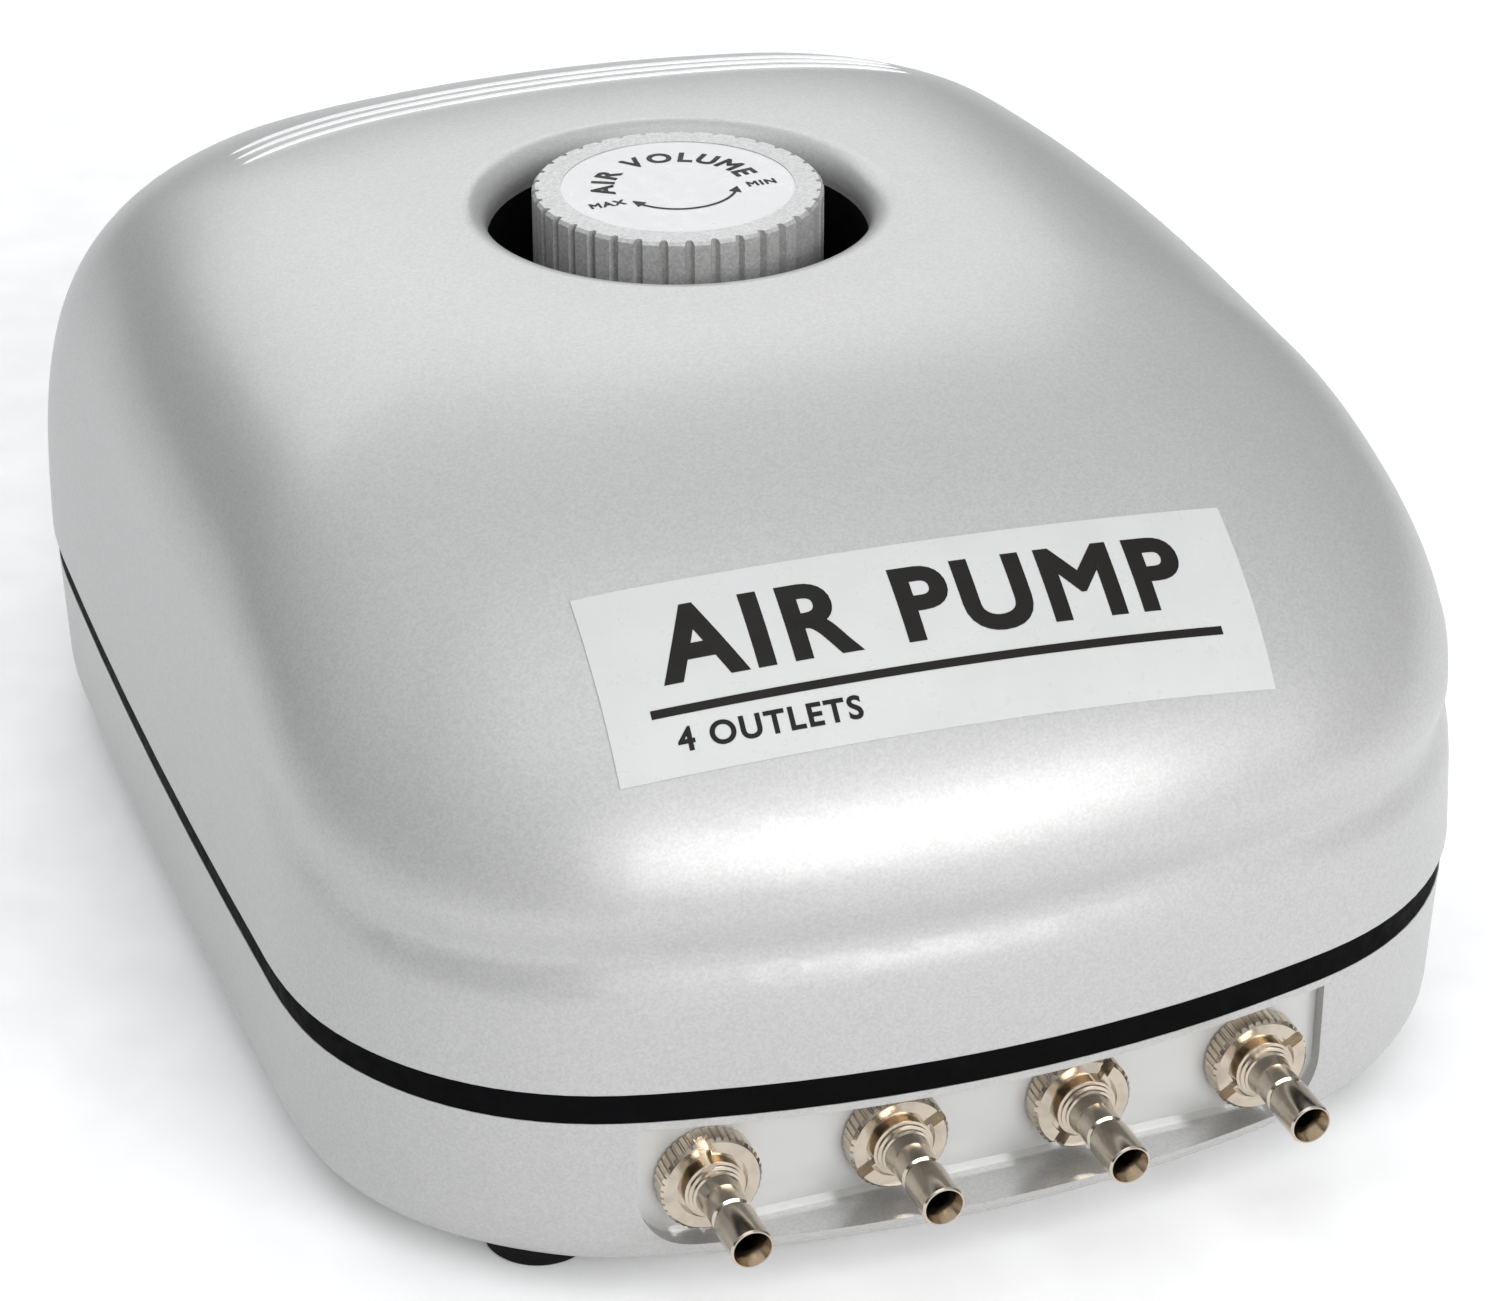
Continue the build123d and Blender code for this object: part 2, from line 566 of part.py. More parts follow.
def stator_core():
    """Laminated bar through the coil with a wide pole at each end."""
    core = box_about(*CORE_HALF)
    for side in (-1, 1):
        inner, outer = side * (CORE_HALF[0] - POLE_DEPTH), side * CORE_HALF[0]
        limits = (min(inner, outer), max(inner, outer))
        core += block(limits, (CORE_Y - POLE_HALF_Y, CORE_Y + POLE_HALF_Y), CORE_Z)
    return core - [rod(SCREW_RADIUS + SCREW_SLACK, (0, 60), *place) for place in CORE_SCREW_PLACES]


def core_screws():
    screw = rod(2.9, (CORE_Z[1], CORE_Z[1] + 2.2)) + rod(SCREW_RADIUS, (CHASSIS_Z[1] + 3, CORE_Z[1]))
    slot_z = (CORE_Z[1] + 1.2, 60)
    screw -= block((-2, 2), (-0.35, 0.35), slot_z) + block((-0.35, 0.35), (-2, 2), slot_z)
    return together([Pos(x, y, 0) * screw for x, y in CORE_SCREW_PLACES])


BOBBIN_TUBE = 7.2
BOBBIN_FLANGE = 15.0
WINDING_HALF = 13.5


def coil_bobbin():
    inner = COIL_HALF_LENGTH - 1.5
    spool = box_about(COIL_HALF_LENGTH, BOBBIN_FLANGE, BOBBIN_FLANGE)
    spool = fillet(spool.edges().filter_by(Axis.X), 3)
    spool -= box_about(inner, 20, 20) - box_about(inner, BOBBIN_TUBE, BOBBIN_TUBE)
    return spool - box_about(30, CORE_HALF[1], CORE_HALF[2])


def coil_winding():
    inner = COIL_HALF_LENGTH - 1.5
    coil = fillet(box_about(inner, WINDING_HALF, WINDING_HALF).edges().filter_by(Axis.X), 4)
    return coil - box_about(inner, BOBBIN_TUBE, BOBBIN_TUBE)


def coil_leads():
    """Two insulated leads from the winding to the board."""
    return together([rod(0.7, (MID_Z + WINDING_HALF, BOARD_Z[0]), x, -8) for x in (-4, 4)])


def swing_arm():
    """Right-hand arm: plate with a pivot boss at the rear and the magnet at the front."""
    front = CORE_Y - MAGNET_SIZE[1] / 2 - 1
    arm = block((ARM_X, ARM_OUT_X), (front, PIVOT_Y), ARM_Z)
    arm += rod(BUSH_RADIUS + 2.0, BOSS_Z, PIVOT_X, PIVOT_Y)
    arm -= rod(BUSH_RADIUS, (BOSS_Z[0] - 1, BOSS_Z[1] + 1), PIVOT_X, PIVOT_Y)
    return arm - rod_along_x(SCREW_RADIUS, (ARM_X - 1, ARM_OUT_X + 1), DIAPHRAGM_Y, MID_Z)


def magnet():
    half = MAGNET_SIZE[1] / 2
    return block((MAGNET_X, ARM_X), (CORE_Y - half, CORE_Y + half), ARM_Z)


def pivot_bush():
    ring = rod(BUSH_RADIUS, BOSS_Z) - rod(PIN_RADIUS + RUNNING_GAP, (BOSS_Z[0] - 1, BOSS_Z[1] + 1))
    return Pos(PIVOT_X, PIVOT_Y, 0) * ring


def pivot_pin():
    """Pin pressed into the chassis, with a shoulder below the arm and a cap above it."""
    pin = rod(PIN_RADIUS, (CHASSIS_Z[0], BOSS_Z[1] + 0.5)) + rod(3.4, (CHASSIS_Z[1], BOSS_Z[0] - 0.5))
    return Pos(PIVOT_X, PIVOT_Y, 0) * (pin + rod(3.4, (BOSS_Z[1] + 0.5, BOSS_Z[1] + 2.0)))


def along_x(profile):
    """Turned piece about the diaphragm's axis, with heights given as X."""
    return Pos(0, DIAPHRAGM_Y, MID_Z) * Rot(0, 90, 0) * lathe(profile)


RIM_X = (BOX_X[0] - 1.5, BOX_X[0])        # clamped edge of the diaphragm
RIM_INNER = DIAPHRAGM_RADIUS - 3.3


def diaphragm():
    """Rubber cup with a hub on the arm and an edge clamped to the valve box."""
    hub = ARM_OUT_X + 3.5
    profile = [(0, hub), (SCREW_RADIUS, hub), (SCREW_RADIUS, ARM_OUT_X), (4.5, ARM_OUT_X), (4.5, hub + 0.9)]
    profile += [(5.6, hub + 1.7), (10.4, hub + 1.7), (RIM_INNER, RIM_X[0]), (DIAPHRAGM_RADIUS, RIM_X[0])]
    profile += [(DIAPHRAGM_RADIUS, RIM_X[1]), (RIM_INNER, RIM_X[1]), (10.4, hub + 3.1), (0, hub + 3.1)]
    return along_x(profile)


def diaphragm_screw():
    head = rod_along_x(3.4, (ARM_X - 2, ARM_X), DIAPHRAGM_Y, MID_Z)
    return head + rod_along_x(SCREW_RADIUS, (ARM_X, ARM_OUT_X + 3.0), DIAPHRAGM_Y, MID_Z)


def clamp_ring():
    inner = RIM_INNER + 0.2
    limits = (RIM_X[0] - 1.5, RIM_X[0])
    ring = rod_along_x(DIAPHRAGM_RADIUS, limits, DIAPHRAGM_Y, MID_Z)
    return ring - rod_along_x(inner, limits, DIAPHRAGM_Y, MID_Z)


CHAMBER_X = BOX_X[0] + 5.5
PORT_Y = (DIAPHRAGM_Y - 7.0, DIAPHRAGM_Y + 7.0)      # delivery port, then intake port


def valve_body():
    """Pumping chamber, and delivery and intake chambers behind it."""
    body = block(BOX_X, BOX_Y, BOX_Z)
    body += rod_along_y(HOSE_BORE, (BOX_Y[0] - SPIGOT_LENGTH, BOX_Y[0]), SPIGOT_X, SPIGOT_Z)
    body -= rod_along_x(RIM_INNER - 0.2, (BOX_X[0], BOX_X[0] + 3.5), DIAPHRAGM_Y, MID_Z)
    low, high = MID_Z - 10, MID_Z + 10
    body -= block((CHAMBER_X, BOX_X[1]), (BOX_Y[0] + 3, DIAPHRAGM_Y - 1.5), (low, high))
    body -= block((CHAMBER_X, BOX_X[1]), (DIAPHRAGM_Y + 1.5, BOX_Y[1] - 3), (low, high))
    body -= [rod_along_x(1.6, (BOX_X[0] + 3, CHAMBER_X + 1), y, MID_Z) for y in PORT_Y]
    body -= rod_along_y(1.2, (BOX_Y[0] - SPIGOT_LENGTH - 1, BOX_Y[0] + 4), SPIGOT_X, SPIGOT_Z)
    return body - rod_along_y(2.0, (BOX_Y[1] - 4, BOX_Y[1] + 1), SPIGOT_X, MID_Z)


def valve_cover():
    plate = block((BOX_X[1], BOX_X[1] + 2), BOX_Y, BOX_Z)
    return fillet(plate.edges().filter_by(Axis.X), 2)


def valve_flaps():
    """Delivery flap in its chamber and intake flap in the pumping chamber."""
    delivery = rod_along_x(4.0, (CHAMBER_X, CHAMBER_X + 0.8), PORT_Y[0], MID_Z)
    intake_x = BOX_X[0] + 3.5
    return together([delivery, rod_along_x(4.0, (intake_x - 0.8, intake_x), PORT_Y[1], MID_Z)])


def air_hose():
    """From the valve box's spigot, round the chassis, to the manifold's spigot."""
    points = [(SPIGOT_X, BOX_Y[0], SPIGOT_Z), (SPIGOT_X, -34, SPIGOT_Z)]
    points += [(MANIFOLD_HOSE_X, -52, OUTLET_Z), (MANIFOLD_HOSE_X, MANIFOLD_Y[1], OUTLET_Z)]
    return tube(points, HOSE_RADIUS, HOSE_BORE, 12)


# ---- Export -------------------------------------------------------------------------
NUT_TURNS = (100, 30, 58, 33)             # spanner slots stop wherever each nut is tight

single = {
    "upper_shell": upper_shell(),
    "lower_shell": lower_shell(),
    "seam_gasket": seam_gasket(),
    "front_label": front_label(),
    "case_screws": case_screws(),
    "filter_cover": filter_cover(),
    "felt_filter": rod(FELT_RADIUS, (FILTER_SEAT_Z, FILTER_SEAT_Z + 4), 0, FILTER_Y),
    "cord_grommet": cord_grommet(),
    "air_manifold": air_manifold(),
    "control_well": control_well(),
    "control_pot": control_pot(),
    "pot_nut": pot_nut(),
    "pot_shaft": pot_shaft(),
    "knob": knob(),
    "knob_label": knob_label(),
    "control_board": control_board(),
    "board_parts": board_parts(),
    "chassis": chassis(),
    "chassis_isolators": chassis_isolators(),
    "stator_core": stator_core(),
    "core_screws": core_screws(),
    "coil_bobbin": coil_bobbin(),
    "coil_winding": coil_winding(),
    "coil_leads": coil_leads(),
}
for number, (x, turn) in enumerate(zip(OUTLET_X, NUT_TURNS), 1):
    single[f"outlet_nipple_{number}"] = outlet_nipple(x)
    single[f"outlet_nut_{number}"] = outlet_nut(x, turn)
for side, sx in (("left", -1), ("right", 1)):
    for end, sy in (("front", -1), ("rear", 1)):
        single[f"foot_{end}_{side}"] = Pos(sx * FOOT_X, sy * FOOT_Y, 0) * foot()

paired = {
    "swing_arm": swing_arm(),
    "magnet": magnet(),
    "pivot_bush": pivot_bush(),
    "pivot_pin": pivot_pin(),
    "diaphragm": diaphragm(),
    "diaphragm_screw": diaphragm_screw(),
    "clamp_ring": clamp_ring(),
    "valve_body": valve_body(),
    "valve_cover": valve_cover(),
    "valve_flaps": valve_flaps(),
    "air_hose": air_hose(),
}
for name, shape in paired.items():
    single[f"right_{name}"] = shape
    single[f"left_{name}"] = mirrored(shape)

for name, shape in single.items():
    export_step(Pos(0, SHELL_Y, 0) * shape, f"parts/{name}.step")
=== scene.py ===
"""Looks for the four-outlet air pump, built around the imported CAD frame. Lengths are in metres."""
import json
import math

import bmesh
import bpy
from mathutils import Matrix, Vector
from mathutils.bvhtree import BVHTree


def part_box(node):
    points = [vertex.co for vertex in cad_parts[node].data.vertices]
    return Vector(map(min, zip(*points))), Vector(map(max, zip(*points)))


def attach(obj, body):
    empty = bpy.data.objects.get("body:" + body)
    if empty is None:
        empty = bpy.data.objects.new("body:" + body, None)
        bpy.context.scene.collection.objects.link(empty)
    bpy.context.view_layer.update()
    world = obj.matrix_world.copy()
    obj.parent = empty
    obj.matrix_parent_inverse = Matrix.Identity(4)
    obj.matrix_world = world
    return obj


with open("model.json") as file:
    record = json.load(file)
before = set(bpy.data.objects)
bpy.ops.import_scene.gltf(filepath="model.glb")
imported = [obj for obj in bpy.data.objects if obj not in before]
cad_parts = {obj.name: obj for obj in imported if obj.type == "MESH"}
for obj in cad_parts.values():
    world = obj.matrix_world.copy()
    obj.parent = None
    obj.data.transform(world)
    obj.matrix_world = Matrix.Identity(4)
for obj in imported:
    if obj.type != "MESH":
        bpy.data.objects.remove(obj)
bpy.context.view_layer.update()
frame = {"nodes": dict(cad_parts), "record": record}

MM = 0.001
HOOD_LOW, HOOD_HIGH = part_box("upper_shell")
KNOB_LOW, KNOB_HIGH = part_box("knob")
SEAM_Z = HOOD_LOW.z
HOOD_CENTRE = (HOOD_LOW + HOOD_HIGH) / 2
KNOB_CENTRE = (KNOB_LOW + KNOB_HIGH) / 2


# ---- Node material helpers ----------------------------------------------------------


class Shader:
    """A principled material with its noise and bump nodes, all in object space."""

    def __init__(self, name, colour, metallic=0.0, roughness=0.5, **sockets):
        self.material = bpy.data.materials.new(name)
        self.material.use_nodes = True
        self.material.diffuse_color = (*colour, 1.0)
        self.tree = self.material.node_tree
        self.face = next(n for n in self.tree.nodes if n.type == "BSDF_PRINCIPLED")
        self.face.inputs["Base Color"].default_value = (*colour, 1.0)
        self.face.inputs["Metallic"].default_value = metallic
        self.face.inputs["Roughness"].default_value = roughness
        for socket, value in sockets.items():
            self.face.inputs[socket.replace("_", " ")].default_value = value
        self.place = self.node("ShaderNodeTexCoord").outputs["Object"]
        self.normal = None

    def node(self, kind, **settings):
        made = self.tree.nodes.new(kind)
        for setting, value in settings.items():
            setattr(made, setting, value)
        return made

    def link(self, out, into):
        self.tree.links.new(out, into)

    def stretched(self, scale):
        """Object coordinates scaled differently along each axis."""
        mapping = self.node("ShaderNodeMapping")
        mapping.inputs["Scale"].default_value = scale
        self.link(self.place, mapping.inputs["Vector"])
        return mapping.outputs["Vector"]

    def noise(self, size, detail=3.0, roughness=0.6, place=None):
        """Noise with features about size metres across."""
        texture = self.node("ShaderNodeTexNoise")
        texture.inputs["Scale"].default_value = 1.0 / size
        texture.inputs["Detail"].default_value = detail
        texture.inputs["Roughness"].default_value = roughness
        self.link(place or self.place, texture.inputs["Vector"])
        return texture.outputs["Fac"]

    def cells(self, size):
        """Random grey per cell of about size metres: the flakes in a metallic lacquer."""
        texture = self.node("ShaderNodeTexVoronoi", feature="F1")
        texture.inputs["Scale"].default_value = 1.0 / size
        self.link(self.place, texture.inputs["Vector"])
        grey = self.node("ShaderNodeSeparateColor")
        self.link(texture.outputs["Color"], grey.inputs["Color"])
        return grey.outputs["Red"]

    def spread(self, value, low, high, start=0.3, stop=0.7):
        """Maps a texture value to a range."""
        ranged = self.node("ShaderNodeMapRange")
        ranged.inputs["From Min"].default_value = start
        ranged.inputs["From Max"].default_value = stop
        ranged.inputs["To Min"].default_value = low
        ranged.inputs["To Max"].default_value = high
        self.link(value, ranged.inputs["Value"])
        return ranged.outputs["Result"]

    def mixed(self, share, first, second):
        """Colour that goes from first to second; each is a colour or a socket."""
        mix = self.node("ShaderNodeMix", data_type="RGBA")
        self.link(share, mix.inputs["Factor"])
        for socket, colour in ((mix.inputs[6], first), (mix.inputs[7], second)):
            if isinstance(colour, tuple):
                socket.default_value = (*colour, 1.0)
            else:
                self.link(colour, socket)
        return mix.outputs[2]

    def product(self, first, second):
        times = self.node("ShaderNodeMath", operation="MULTIPLY")
        self.link(first, times.inputs[0])
        self.link(second, times.inputs[1])
        return times.outputs["Value"]

    def inside(self, low, high):
        """1 inside a box in object space, 0 outside it."""
        split = self.node("ShaderNodeSeparateXYZ")
        self.link(self.place, split.inputs["Vector"])
        share = None
        for axis in range(3):
            near = self.node("ShaderNodeMath", operation="COMPARE")
            self.link(split.outputs[axis], near.inputs[0])
            near.inputs[1].default_value = (low[axis] + high[axis]) / 2
            near.inputs[2].default_value = (high[axis] - low[axis]) / 2
            share = self.product(share, near.outputs["Value"]) if share else near.outputs["Value"]
        return share

    def colour(self, socket):
        self.link(socket, self.face.inputs["Base Color"])

    def vary_roughness(self, value, low, high):
        """Roughness that follows a texture value; kept as self.rough for further mixing."""
        self.rough = self.spread(value, low, high)
        self.link(self.rough, self.face.inputs["Roughness"])

    def polish(self, share, roughness):
        """Goes over to one roughness where share is 1."""
        polished = self.node("ShaderNodeMapRange")
        polished.inputs["To Max"].default_value = roughness
        self.link(share, polished.inputs["Value"])
        self.link(self.rough, polished.inputs["To Min"])
        self.link(polished.outputs["Result"], self.face.inputs["Roughness"])

    def bump(self, height, strength, distance):
        """Adds a bump on top of those already there; distance is in metres."""
        made = self.node("ShaderNodeBump")
        made.inputs["Strength"].default_value = strength
        made.inputs["Distance"].default_value = distance
        self.link(height, made.inputs["Height"])
        if self.normal:
            self.link(self.normal, made.inputs["Normal"])
        self.normal = made.outputs["Normal"]
        self.link(self.normal, self.face.inputs["Normal"])


def scaled(colour, factor):
    return tuple(min(channel * factor, 1.0) for channel in colour)


def lacquer(name, colour, grain, speckle=0.07):
    """Silver metallic lacquer: fine flakes that differ in brightness, over slight orange peel."""
    shader = Shader(name, colour, metallic=0.35, roughness=0.42, Coat_Weight=0.25, Coat_Roughness=0.22)
    flakes = shader.spread(shader.cells(grain), 0.0, 1.0, 0.0, 1.0)
    speckled = shader.mixed(flakes, scaled(colour, 1 - speckle), scaled(colour, 1 + speckle))
    clouds = shader.spread(shader.noise(0.03), 0.0, 0.10)
    shader.paint = shader.mixed(clouds, speckled, scaled(colour, 0.85))
    shader.colour(shader.paint)
    shader.vary_roughness(shader.noise(0.0005), 0.39, 0.46)
    shader.bump(shader.noise(0.0003), 0.05, 0.00003)
    return shader


RECESS_END = 2.1 * MM      # from the outer ring nuts to the ends of the outlet recess
LEDGE_DROP = 1.9 * MM      # from the ring nuts down to the ledge
# half-thicknesses of the two masks: the panel's mask carries painted light, the ledge's mask the polish
PAINTED_LIGHT_PANEL_HALO, LEDGE_HALO = 0.3 * MM, 1.2 * MM
FAR_FORWARD = -1.0


def tray_lacquer_with_painted_panel_light():
    """The same lacquer, painted lighter on the sunk outlet panel as painted light against the shade of the
    hood and nuts, and polished on the ledge below it.
    """
    shader = lacquer("tray_lacquer_with_painted_panel_light", SILVER, SHELL_GRAIN)
    first_low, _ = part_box("outlet_nut_1")
    _, last_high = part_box("outlet_nut_4")
    left, right = first_low.x - RECESS_END, last_high.x + RECESS_END
    panel_y, ledge_z = last_high.y, first_low.z - LEDGE_DROP
    painted_light_panel = shader.inside((left, panel_y - PAINTED_LIGHT_PANEL_HALO, ledge_z), (right, panel_y + PAINTED_LIGHT_PANEL_HALO, SEAM_Z))
    ledge = shader.inside((left, FAR_FORWARD, ledge_z - LEDGE_HALO), (right, panel_y, ledge_z + LEDGE_HALO))
    # painted light: the sunk panel's paint is made a quarter lighter to lift it out of the shade under the
    # hood and nuts
    shader.colour(shader.mixed(painted_light_panel, shader.paint, scaled(SILVER, 1.25)))
    shader.polish(ledge, 0.12)
    return shader.material


def rubber(name, colour, grain=0.0005, gloss=0.12):
    shader = Shader(name, colour, roughness=0.75, Specular_IOR_Level=gloss)
    shader.colour(shader.mixed(shader.spread(shader.noise(0.004), 0.0, 1.0), colour, scaled(colour, 1.8)))
    shader.vary_roughness(shader.noise(0.002), 0.60, 0.85)
    shader.bump(shader.noise(grain, detail=4.0), 0.5, 0.0001)
    return shader.material


def plastic(name, colour, roughness=0.45, grain=0.0004, gloss=0.5):
    shader = Shader(name, colour, roughness=roughness, Specular_IOR_Level=gloss)
    shader.colour(shader.mixed(shader.spread(shader.noise(0.01), 0.0, 1.0), colour, scaled(colour, 1.15)))
    shader.vary_roughness(shader.noise(0.003), roughness - 0.08, roughness + 0.10)
    shader.bump(shader.noise(grain), 0.3, 0.00004)
    return shader.material


def metal(name, colour, roughness=0.2, streaks=(1.0, 1.0, 1.0)):
    """Bare or plated metal with a drawn or turned grain and slight tarnish."""
    shader = Shader(name, colour, metallic=1.0, roughness=roughness)
    tarnish = shader.spread(shader.noise(0.003, detail=5.0), 0.0, 1.0, 0.45, 0.75)
    shader.colour(shader.mixed(tarnish, colour, scaled(colour, 0.72)))
    grain = shader.noise(0.0006, place=shader.stretched(streaks))
    shader.vary_roughness(grain, max(roughness - 0.07, 0.03), roughness + 0.10)
    shader.bump(grain, 0.10, 0.00003)
    return shader.material


def printed(name, colour):
    """Smooth printed film with faint handling marks."""
    shader = Shader(name, colour, roughness=0.3, Coat_Weight=0.4, Coat_Roughness=0.15)
    shader.colour(shader.mixed(shader.spread(shader.noise(0.006), 0.0, 1.0), colour, scaled(colour, 0.96)))
    shader.vary_roughness(shader.noise(0.002), 0.25, 0.38)
    shader.bump(shader.noise(0.002), 0.03, 0.00001)
    return shader.material


SILVER = (0.475, 0.475, 0.468)
SHELL_GRAIN = 0.00026

LOOKS = {
    "shell_paint": lacquer("shell_lacquer", SILVER, SHELL_GRAIN).material,
    "knob_paint": lacquer("knob_lacquer", scaled(SILVER, 1.02), 0.0003, 0.16).material,
    "gasket_rubber": rubber("gasket_rubber", (0.0015, 0.0015, 0.0018), gloss=0.05),
    "foot_rubber": rubber("foot_rubber", (0.005, 0.005, 0.005)),
    "disc_film": printed("disc_film", (0.60, 0.60, 0.605)),
    "label_film": printed("label_film", (0.58, 0.585, 0.58)),
    "nickel": metal("nickel_plate", (0.62, 0.545, 0.45), 0.13, (1.0, 12.0, 12.0)),
    # The cup under the knob is black plastic, and its near-black is also painted shade for the darkness
    # deep in the hole.
    "well_plastic": plastic("well_plastic", (0.003, 0.003, 0.003), 0.6, gloss=0.1),
    "inner_plastic": plastic("inner_plastic", (0.05, 0.05, 0.055), 0.5),
    "steel": metal("zinc_plated_steel", (0.55, 0.55, 0.56), 0.3),
    "copper": metal("enamelled_copper", (0.62, 0.26, 0.12), 0.3, (1.0, 1.0, 10.0)),
    "magnet_ferrite": metal("ferrite", (0.08, 0.08, 0.085), 0.5),
    "arm_alloy": metal("pressed_aluminium", (0.72, 0.73, 0.75), 0.35, (1.0, 10.0, 1.0)),
    "bush_plastic": plastic("acetal", (0.75, 0.73, 0.66), 0.4),
    "diaphragm_rubber": rubber("nitrile", (0.02, 0.02, 0.02)),
    "hose_silicone": plastic("silicone", (0.55, 0.57, 0.55), 0.4),
    "felt": rubber("needled_felt", (0.70, 0.70, 0.66), 0.0008),
    "board_laminate": plastic("board_laminate", (0.04, 0.14, 0.05), 0.4),
}
INK = plastic("black_ink", (0.006, 0.005, 0.004), 0.5, gloss=0.25)
# Painted highlight: the ridges get a near-white silver, much lighter than the shell, for the light that
# their edges catch.
RIDGE_HIGHLIGHT_LACQUER = lacquer("ridge_painted_highlight_lacquer", (0.80, 0.80, 0.80), 0.0003, 0.04).material


def dress_nodes():
    """Gives every CAD node the look of its slot in the record, and the tray its own, with painted light on
    the outlet panel.
    """
    slots = {part["node"]: part["material_slot"] for part in frame["record"]["subparts"]}
    for name, node in frame["nodes"].items():
        node.data.materials.clear()
        node.data.materials.append(LOOKS[slots[name]])
    tray = frame["nodes"]["lower_shell"].data.materials
    tray[0] = tray_lacquer_with_painted_panel_light()


dress_nodes()

# ---- Pieces made here ---------------------------------------------------------------


def add(name, mesh, look, body):
    """Puts a finished mesh in the scene, on a body."""
    mesh.materials.clear()
    mesh.materials.append(look)
    made = bpy.data.objects.new(name, mesh)
    bpy.context.scene.collection.objects.link(made)
    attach(made, body)
    return made


def shade_smooth(mesh):
    mesh.polygons.foreach_set("use_smooth", [True] * len(mesh.polygons))


def skin_of(node):
    """Tree for finding where a line meets a CAD node's faces."""
    return BVHTree.FromObject(frame["nodes"][node], bpy.context.evaluated_depsgraph_get())


ABOVE = 0.2


def drop(tree, x, y):
    """Point and normal where a line straight down first meets the surface."""
    point, normal, _, _ = tree.ray_cast(Vector((x, y, ABOVE)), Vector((0, 0, -1)))
    return point, normal


BEAD_SIDES = 10
BEAD_TAPER = 0.06          # share of the bead's length that each end tapers over
BEAD_TIP = 0.02            # size of its very end


def bead(shape, points, ups, width, height):
    """Adds a closed bead of oval section that tapers to its ends, half sunk in the surface."""
    rings = []
    last = len(points) - 1
    for k, (point, up) in enumerate(zip(points, ups)):
        along = (points[min(k + 1, last)] - points[max(k - 1, 0)]).normalized()
        across = along.cross(up).normalized()
        end = min(k, last - k) / (BEAD_TAPER * last)
        share = math.sqrt(min(end, 1.0)) * (1 - BEAD_TIP) + BEAD_TIP
        ring = []
        for side in range(BEAD_SIDES):
            turn = 2 * math.pi * side / BEAD_SIDES
            offset = across * (math.cos(turn) * width / 2) + up * (math.sin(turn) * height)
            ring.append(shape.verts.new(point + offset * share))
        rings.append(ring)
    for first, second in zip(rings, rings[1:]):
        for side in range(BEAD_SIDES):
            after = (side + 1) % BEAD_SIDES
            shape.faces.new((first[side], first[after], second[after], second[side]))
    shape.faces.new(list(reversed(rings[0])))
    shape.faces.new(rings[-1])


RIDGE_ARC = 165 * MM
RIDGE_HALF_WIDTH = 47 * MM
RIDGE_REACHES = (44.0 * MM, 47.2 * MM, 50.5 * MM)    # behind the knob's axis
RIDGE_WIDTH, RIDGE_HEIGHT = 0.75 * MM, 0.35 * MM
RIDGE_STEPS = 80


def rear_ridges():
    """Three fine moulded lines across the rear of the hood, in a lighter lacquer that is a painted
    highlight.
    """
    tree = skin_of("upper_shell")
    shape = bmesh.new()
    for reach in RIDGE_REACHES:
        points, ups = [], []
        for k in range(RIDGE_STEPS + 1):
            x = RIDGE_HALF_WIDTH * (2 * k / RIDGE_STEPS - 1)
            y = KNOB_CENTRE.y + reach - RIDGE_ARC + math.sqrt(RIDGE_ARC**2 - x**2)
            point, normal = drop(tree, x, y)
            points.append(point)
            ups.append(normal)
        bead(shape, points, ups, RIDGE_WIDTH, RIDGE_HEIGHT)
    bmesh.ops.recalc_face_normals(shape, faces=shape.faces)
    mesh = bpy.data.meshes.new("rear_ridges")
    shape.to_mesh(mesh)
    shade_smooth(mesh)
    add("rear_ridges", mesh, RIDGE_HIGHLIGHT_LACQUER, "housing")


INK_LIFT = 0.02 * MM
INK_DEPTH = 0.06 * MM
EDGE_SHARE = 0.1           # upright part of a letter's edge, as a share of its bevel


def lettering(text, size, weight, spacing=1.0):
    """Thin closed mesh of a line of plain capitals, centred on the origin, with its back at z 0."""
    curve = bpy.data.curves.new("lettering", "FONT")
    curve.body = text
    curve.size = size
    curve.extrude = EDGE_SHARE * weight
    curve.bevel_depth = weight
    curve.bevel_resolution = 1
    curve.space_character = spacing
    curve.align_x = "CENTER"
    curve.align_y = "CENTER"
    curve.resolution_u = 6
    made = bpy.data.objects.new("lettering", curve)
    bpy.context.scene.collection.objects.link(made)
    mesh = bpy.data.meshes.new_from_object(made.evaluated_get(bpy.context.evaluated_depsgraph_get()))
    bpy.data.objects.remove(made)
    half = (1 + EDGE_SHARE) * weight
    flatten = Matrix.Diagonal((1, 1, INK_DEPTH / (2 * half), 1))
    mesh.transform(flatten @ Matrix.Translation((0, 0, half)))
    return mesh


def printed_area(shape, outline):
    """Adds a closed layer of ink over a flat outline of (x, y) corners."""
    face = shape.faces.new([shape.verts.new((x, y, 0)) for x, y in outline])
    raised = bmesh.ops.extrude_face_region(shape, geom=[face], use_keep_orig=True)
    top = [part for part in raised["geom"] if isinstance(part, bmesh.types.BMVert)]
    bmesh.ops.translate(shape, verts=top, vec=(0, 0, INK_DEPTH))


def ring_point(radius, turn):
    return (radius * math.cos(turn), radius * math.sin(turn))


def finished(shape, name):
    """Mesh from a bmesh, welded and with its faces pointing outwards."""
    bmesh.ops.remove_doubles(shape, verts=shape.verts, dist=0.001 * MM)
    bmesh.ops.dissolve_degenerate(shape, edges=shape.edges, dist=0.001 * MM)
    bmesh.ops.recalc_face_normals(shape, faces=shape.faces)
    mesh = bpy.data.meshes.new(name)
    shape.to_mesh(mesh)
    return mesh


